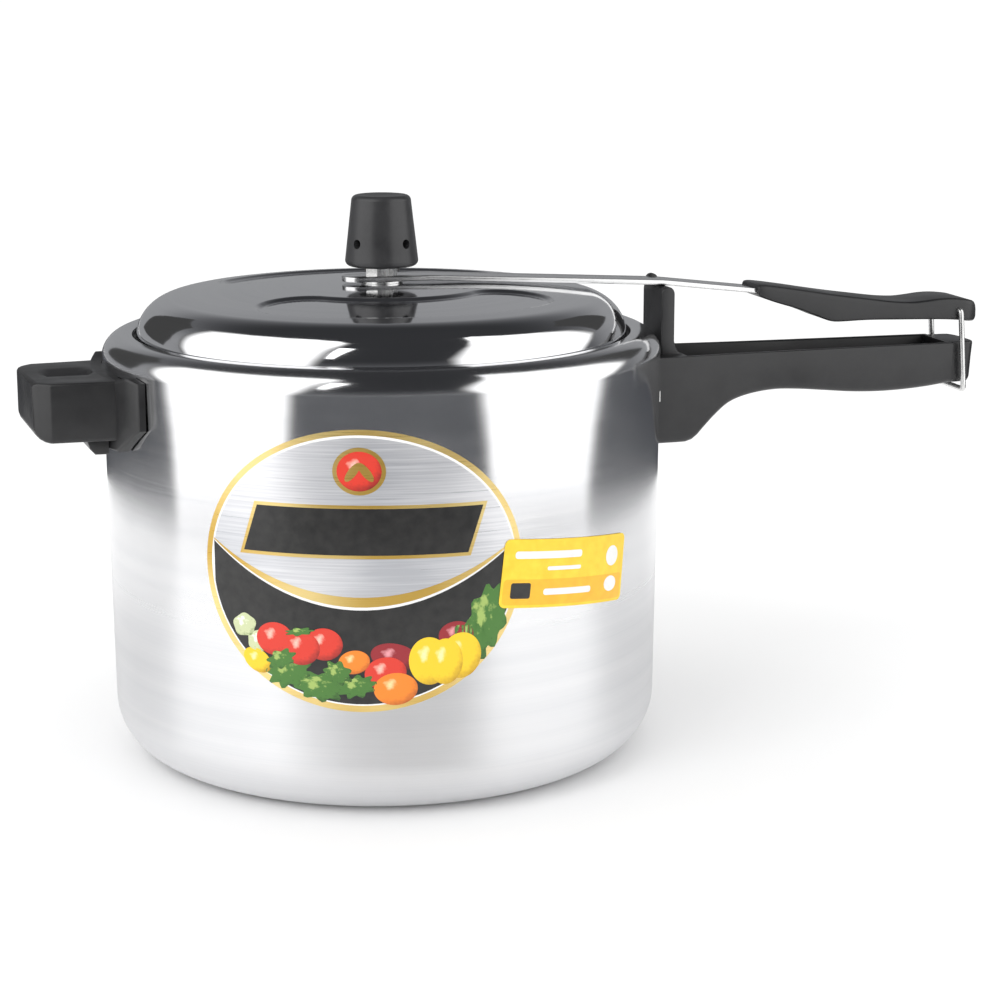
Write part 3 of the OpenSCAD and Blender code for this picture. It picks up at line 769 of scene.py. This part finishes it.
def foil(name, light, dark, brushed=True, metallic=0.85, rough=0.3):
    mat, tree, bsdf = newFinish(name)
    link = tree.links.new
    lines = noiseOf(tree, objectPoint(tree, (18, 18, 1500)), 1.0, 3.0, 0.65)
    sweep = noiseOf(tree, objectPoint(tree), 22.0, 1.0)
    fac = mathOf(tree, "ADD", mathOf(tree, "MULTIPLY", lines, 0.45 if brushed else 0.15),
                 mathOf(tree, "MULTIPLY", sweep, 0.55 if brushed else 0.85))
    link(ramp(tree, fac, [(0.36, dark), (0.62, light)]), bsdf.inputs["Base Color"])
    link(rangeOf(tree, lines, 0.3, 0.7, rough * 0.8, rough * 1.2), bsdf.inputs["Roughness"])
    bsdf.inputs["Metallic"].default_value = metallic
    link(bumpOf(tree, lines, 0.06, 0.0001), bsdf.inputs["Normal"])
    return mat


goldFoil = foil("goldFoil", (0.93, 0.72, 0.30), (0.62, 0.40, 0.09), False, 0.75, 0.32)
silverFoil = foil("silverFoil", (0.86, 0.86, 0.88), (0.55, 0.56, 0.59), True, 0.6, 0.34)
whiteInk = printInk("whiteInk", [(0.3, (0.84, 0.84, 0.83)), (0.7, (0.92, 0.92, 0.91))])
blackInk = printInk("blackInk", [(0.3, (0.008, 0.008, 0.008)), (0.7, (0.022, 0.021, 0.02))])
yellowInk = printInk("yellowInk", [(0.3, (0.93, 0.60, 0.012)), (0.7, (0.98, 0.70, 0.03))])
amberInk = printInk("amberInk", [(0.3, (0.90, 0.47, 0.01)), (0.7, (0.95, 0.54, 0.015))])
tomatoInk = fruitInk("tomatoInk", (0.98, 0.55, 0.45), (0.72, 0.035, 0.015), (0.22, 0.008, 0.006))
plumInk = fruitInk("plumInk", (0.85, 0.35, 0.38), (0.32, 0.012, 0.02), (0.07, 0.004, 0.008))
carrotInk = fruitInk("carrotInk", (1.0, 0.72, 0.35), (0.90, 0.24, 0.012), (0.42, 0.08, 0.006))
pepperInk = fruitInk("pepperInk", (1.0, 0.92, 0.45), (0.92, 0.62, 0.012), (0.50, 0.26, 0.004))
leafInk = fruitInk("leafInk", (0.36, 0.50, 0.12), (0.06, 0.19, 0.025), (0.012, 0.05, 0.008), True)
paleInk = fruitInk("paleInk", (0.93, 0.95, 0.80), (0.60, 0.66, 0.38), (0.22, 0.30, 0.10), True)


def wrapPatch(bm, angle, midZ, lift, thick):
    # lays a flat drawing (x across, z up) on the tapered wall at an angle from the front
    for step in range(-68, 69, 3):
        bmesh.ops.bisect_plane(bm, geom=bm.verts[:] + bm.edges[:] + bm.faces[:], plane_co=(step, 0, 0),
                               plane_no=(1, 0, 0), dist=0.0005)
    made = bmesh.ops.extrude_face_region(bm, geom=bm.faces[:])["geom"]
    bmesh.ops.translate(bm, vec=(0, thick, 0), verts=[v for v in made if isinstance(v, bmesh.types.BMVert)])
    for v in bm.verts:
        z = midZ + v.co.z
        r = wallRadius(z) + lift + v.co.y
        a = math.radians(angle) + v.co.x / wallR
        v.co = Vector((r * math.sin(a), -r * math.cos(a), z))


def drawn(bm, outline):
    # adds a flat shape with its own 0 to 1 map
    face = bm.faces.new([bm.verts.new((x, 0, z)) for x, z in outline])
    xs, zs = [p[0] for p in outline], [p[1] for p in outline]
    uv = bm.loops.layers.uv.verify()
    for loop in face.loops:
        across, up = loop.vert.co.x - min(xs), loop.vert.co.z - min(zs)
        loop[uv].uv = (across / (max(xs) - min(xs)), up / (max(zs) - min(zs)))


def oval(cx, cz, rx, rz, tilt=0.0, count=40, lobes=0, lobeDepth=0.0):
    pts = []
    for i in range(count):
        a = 2 * math.pi * i / count
        k = 1 + lobeDepth * math.cos(lobes * a)
        x, z = rx * k * math.cos(a), rz * k * math.sin(a)
        t = math.radians(tilt)
        pts.append((cx + x * math.cos(t) - z * math.sin(t), cz + x * math.sin(t) + z * math.cos(t)))
    return pts


label = {"angle": -17.6, "midZ": 0.567 * lipZ, "halfW": 66.5, "halfH": 57.0, "step": 0.05}


def swoosh(x):
    return -10.5 + 0.0052 * x * x


def ovalEdge(x, halfW, halfH):
    return halfH * math.sqrt(max(1 - (x / halfW) ** 2, 0))


def layer(name, material, shapes, level, angle=None, midZ=None, nodes=("label_oval",)):
    bm = bmesh.new()
    for shape in shapes:
        drawn(bm, shape)
    lift = 0.10 + label["step"] * level
    wrapPatch(bm, label["angle"] if angle is None else angle, label["midZ"] if midZ is None else midZ, lift, 0.045)
    return finishPiece(name, bm, material, "pot", nodes, sharp=60, merge=0.0005)


def makeLabel():
    w, h = label["halfW"], label["halfH"]
    layer("labelBorder", goldFoil, [oval(0, 0, w, h, count=120)], 0)
    layer("labelLine", whiteInk, [oval(0, 0.2, w - 2.6, h - 2.4, count=120)], 1)
    wi, hi = w - 3.4, h - 3.2
    # silver field above the swoosh
    xs = [wi * math.sin(math.radians(a)) for a in range(-82, 83, 4)]
    topEdge = [(x, ovalEdge(x, wi, hi)) for x in xs]
    under = [(x, max(swoosh(x), -ovalEdge(x, wi, hi))) for x in reversed(xs)]
    layer("labelField", silverFoil, [topEdge + under], 2)
    lowEdge = [(x, -ovalEdge(x, wi, hi)) for x in xs]
    over = [(x, swoosh(x) - 4.2 * (1 - (x / wi) ** 2) - 0.6) for x in reversed(xs)]
    over = [(x, max(z, -ovalEdge(x, wi, hi) + 0.05)) for x, z in over]
    layer("labelBand", blackInk, [lowEdge + over], 2)
    band = [(x, swoosh(x) + 0.4) for x in xs] + [(x, swoosh(x) - 3.6 * (1 - (x / wi) ** 2)) for x in reversed(xs)]
    layer("labelSwoosh", goldFoil, [band], 3)
    # a plain bar where a name would be
    slant = [(-50, 5.5), (44, 5.5), (51, 27), (-43, 27)]
    inner = [(-48.2, 6.9), (43, 6.9), (49.2, 25.6), (-41.9, 25.6)]
    layer("labelBarEdge", goldFoil, [slant], 3)
    layer("labelBar", blackInk, [inner], 4)
    layer("labelBadge", goldFoil, [oval(0, 40.5, 10.5, 9.5)], 3)
    layer("labelBadgeDisc", tomatoInk, [oval(0, 40.5, 8.8, 7.9)], 4)
    layer("labelBadgeLeaf", goldFoil, [oval(-2.6, 40.2, 4.6, 1.7, 52), oval(2.6, 40.2, 4.6, 1.7, -52)], 5)
    # printed vegetables along the bottom
    layer("labelGreens", leafInk, [
        oval(51, -21, 8, 14, -18, 44, 9, 0.13), oval(44, -30, 8, 9, 0, 44, 8, 0.12),
        oval(-30, -41, 9, 6.5, 20, 44, 9, 0.16), oval(-17, -47, 10, 5.5, -8, 44, 9, 0.16)], 3)
    layer("labelPale", paleInk, [
        oval(-49, -24, 5.2, 4.6, 20, 40, 5, 0.06), oval(-43, -30, 4.6, 4.4, 0, 40, 5, 0.06)], 3)
    layer("labelPlum", plumInk, [oval(13, -34.5, 9.5, 5.6, -12), oval(38, -26.5, 7.2, 5.6, 0)], 3)
    layer("labelLemon", pepperInk, [oval(-43.5, -38, 6.6, 4.6, -28)], 3)
    layer("labelTomatoBack", tomatoInk, [oval(-35.5, -28.5, 8.0, 6.8), oval(-15, -29.5, 7.6, 6.6)], 4)
    layer("labelTomato", tomatoInk, [oval(-24.5, -31.5, 7.8, 7.0), oval(9.5, -41.0, 8.4, 6.6, 10)], 5)
    layer("labelCarrot", carrotInk, [oval(-3.0, -36.5, 6.4, 4.8, 12)], 5)
    layer("labelPepper", pepperInk, [oval(27, -36.5, 8.2, 9.8, 6), oval(40, -35.0, 8.4, 9.4, -8)], 4)
    layer("labelPepperMid", pepperInk, [oval(33.5, -37, 7.2, 9.4, 0)], 5)
    layer("labelOrange", carrotInk, [oval(13.5, -47.5, 8.8, 6.6, 4)], 6)
    layer("labelSprig", leafInk, [
        oval(-9.5, -41, 5.5, 4.2, -30, 44, 7, 0.18), oval(-2, -46.5, 7.5, 4.2, 12, 44, 9, 0.18),
        oval(-33, -36.5, 6, 3.4, 24, 44, 7, 0.18), oval(-25, -24.8, 5.5, 1.5, 8, 40, 7, 0.2)], 6)


care = {"angle": 25.3, "midZ": 0.528 * lipZ, "tilt": -6.5, "halfW": 34.2, "halfH": 14.0}


def makeCare():
    def turned(shape):
        t = math.radians(care["tilt"])
        return [(1.4 + x * math.cos(t) - z * math.sin(t), x * math.sin(t) + z * math.cos(t)) for x, z in shape]

    def rounded(cx, cz, halfW, halfH, r):
        return turned([(cx + y, cz + z) for y, z in roundedSection(halfW, -halfH, halfH, r, r, 6)])

    w, h = care["halfW"], care["halfH"]
    nodes, slot = ("label_care",), "label_yellow"
    layer("careBase", yellowInk, [rounded(0, 0, w, h, 2.6)], 7, care["angle"], care["midZ"], nodes)
    layer("careBand", amberInk, [rounded(0, -7.6, w - 1.2, 5.2, 1.6)], 8, care["angle"], care["midZ"], nodes)
    marks = [rounded(-12, 7.6, 17, 1.5, 1.2), rounded(-4, 2.0, 9, 0.8, 0.7), rounded(-1, -7.6, 13, 1.3, 1.1)]
    marks += [turned(oval(25, 5.2, 4.2, 4.2)), turned(oval(25, -6.4, 4.2, 3.2))]
    layer("careMarks", whiteInk, marks, 9, care["angle"], care["midZ"], nodes)
    layer("careDot", blackInk, [rounded(-25, -7.0, 4.6, 3.2, 1.0)], 9, care["angle"], care["midZ"], nodes)


makeLabel()
makeCare()
print("labels made")


# studio

def plainStage(name, bm, mat):
    mesh = bpy.data.meshes.new(name)
    bm.to_mesh(mesh)
    bm.free()
    mesh.materials.append(mat)
    obj = bpy.data.objects.new(name, mesh)
    scene.collection.objects.link(obj)
    return obj


def onlyReflected(obj):
    obj.visible_camera = False
    obj.visible_diffuse = False
    obj.visible_shadow = False
    obj.visible_transmission = False
    obj.visible_volume_scatter = False


def makeStudio():
    floorMat, tree, bsdf = newFinish("paleFloor")
    cloud = noiseOf(tree, objectPoint(tree), 3.0)
    tree.links.new(ramp(tree, cloud, [(0.3, (0.90, 0.90, 0.90)), (0.7, (0.92, 0.92, 0.92))]), bsdf.inputs["Base Color"])
    bsdf.inputs["Roughness"].default_value = 1.0
    bsdf.inputs["Specular IOR Level"].default_value = 0.0
    bm = bmesh.new()
    bmesh.ops.create_grid(bm, x_segments=1, y_segments=1, size=40)
    plainStage("floor", bm, floorMat)

    def glowMat(name, strength, soft=0.0):
        mat = bpy.data.materials.new(name)
        mat.use_nodes = True
        t = mat.node_tree
        t.nodes.clear()
        out = t.nodes.new("ShaderNodeOutputMaterial")
        glow = t.nodes.new("ShaderNodeEmission")
        glow.inputs["Strength"].default_value = strength
        t.links.new(glow.outputs[0], out.inputs["Surface"])
        if soft:  # fades towards its sides
            sides = t.nodes.new("ShaderNodeSeparateXYZ")
            t.links.new(t.nodes.new("ShaderNodeTexCoord").outputs["UV"], sides.inputs[0])
            edge = mathOf(t, "MINIMUM", sides.outputs[0], mathOf(t, "SUBTRACT", 1.0, sides.outputs[0]))
            t.links.new(rangeOf(t, edge, 0.0, soft, strength * 0.1, strength, True), glow.inputs["Strength"])
        return mat, t, glow

    # the unlit room round the white table, seen only in the polish: lighter behind, dark above and in front
    roomMat, tree, glow = glowMat("darkRoom", 1.0)
    coord = tree.nodes.new("ShaderNodeTexCoord")
    split = tree.nodes.new("ShaderNodeSeparateXYZ")
    tree.links.new(coord.outputs["Object"], split.inputs[0])
    behind = rangeOf(tree, split.outputs[1], -0.9, 2.0, 0.0, 1.0, True)
    low = rangeOf(tree, split.outputs[2], 0.9, 2.7, 1.0, 0.0, True)
    near = rangeOf(tree, split.outputs[2], 0.2, 1.2, 0.35, 0.0, True)
    lit = mathOf(tree, "MAXIMUM", mathOf(tree, "MULTIPLY", behind, low), near)
    greys = [(0.0, (0.036, 0.037, 0.040)), (0.5, (0.14, 0.142, 0.15)), (1.0, (0.31, 0.315, 0.325))]
    tree.links.new(ramp(tree, lit, greys), glow.inputs["Color"])
    bm = bmesh.new()
    bmesh.ops.create_uvsphere(bm, u_segments=64, v_segments=32, radius=3.0)
    onlyReflected(plainStage("room", bm, roomMat))

    # the floor of the room, past the edge of the table
    darkMat, tree, glow = glowMat("darkFloor", 1.0)
    glow.inputs["Color"].default_value = (0.078, 0.081, 0.090, 1)
    bm = bmesh.new()
    ring = bmesh.ops.create_circle(bm, segments=96, radius=0.56)["verts"]
    made = bmesh.ops.extrude_edge_only(bm, edges=list({e for v in ring for e in v.link_edges}))["geom"]
    bmesh.ops.scale(bm, vec=(4.6, 4.6, 1), verts=[v for v in made if isinstance(v, bmesh.types.BMVert)])
    bmesh.ops.translate(bm, vec=(0.0, 0.04, 0.0015), verts=bm.verts)
    onlyReflected(plainStage("darkFloor", bm, darkMat))

    def domePatch(name, rows, strength, soft=0.0):
        # rows of (elevation, left and right azimuth from the front, distance) on a dome round the pot
        mat, _, _ = glowMat(name, strength, soft)
        b = bmesh.new()
        uv = b.loops.layers.uv.verify()
        bmesh.ops.create_grid(b, x_segments=16, y_segments=len(rows) - 1, size=0.5)
        for f in b.faces:
            for loop in f.loops:
                loop[uv].uv = (loop.vert.co.x + 0.5, loop.vert.co.y + 0.5)
        for v in b.verts:
            el, left, right, far = rows[round((v.co.y + 0.5) * (len(rows) - 1))]
            a, e = math.radians(left + (right - left) * (v.co.x + 0.5)), math.radians(el)
            flat = far * math.cos(e)
            v.co = Vector((flat * math.sin(a), -flat * math.cos(a), far * math.sin(e) + 0.002))
        onlyReflected(plainStage(name, b, mat))

    domePatch("boxLeft", [
        (0, -99, -47, 0.60), (8, -106, -44, 0.70), (20, -116, -40, 0.9), (35, -122, -38, 0.9),
        (50, -126, -37, 0.9), (60, -107, -35, 0.9), (66, -88, -34, 0.9), (70, -68, -46, 0.9)], 1.5, 0.1)
    domePatch("boxRight", [
        (0, 25, 71, 0.60), (8, 20, 82, 0.70), (18, 15, 94, 0.9), (28, 15, 105, 0.9),
        (42, 22, 98, 0.9), (52, 31, 87, 0.9), (61, 41, 71, 0.9), (68, 51, 59, 0.9)], 1.5, 0.1)
    domePatch("deskLeft", [(14, -158, -128, 0.95), (24, -160, -126, 0.95), (44, -156, -134, 0.95)], 0.06)
    domePatch("deskRight", [(27, 107, 128, 0.95), (40, 106, 130, 0.95), (50, 104, 122, 0.95)], 0.06)

    world = bpy.data.worlds.new("studio")
    world.use_nodes = True
    world.node_tree.nodes["Background"].inputs["Color"].default_value = (1, 1, 1, 1)
    world.node_tree.nodes["Background"].inputs["Strength"].default_value = 1.15
    scene.world = world

    def area(name, place, target, size, power):
        data = bpy.data.lights.new(name, "AREA")
        data.shape = "RECTANGLE"
        data.size, data.size_y = size
        data.energy = power
        lamp = bpy.data.objects.new(name, data)
        lamp.location = place
        lamp.rotation_euler = (Vector(target) - Vector(place)).to_track_quat("-Z", "Y").to_euler()
        scene.collection.objects.link(lamp)
        return lamp

    area("keyLight", (-1.1, -0.9, 1.3), (0, 0, 0.1), (0.9, 0.9), 7)


makeStudio()

camData = bpy.data.cameras.new("camera")
camData.lens = 88.22
camData.sensor_width = 36
camera = bpy.data.objects.new("camera", camData)
camera.location = (-0.2362, -1.0231, 0.3371)
camera.rotation_euler = (math.radians(77.61), 0, math.radians(-15.77))
scene.collection.objects.link(camera)
scene.camera = camera
scene.view_settings.view_transform = "Standard"
print("studio made")
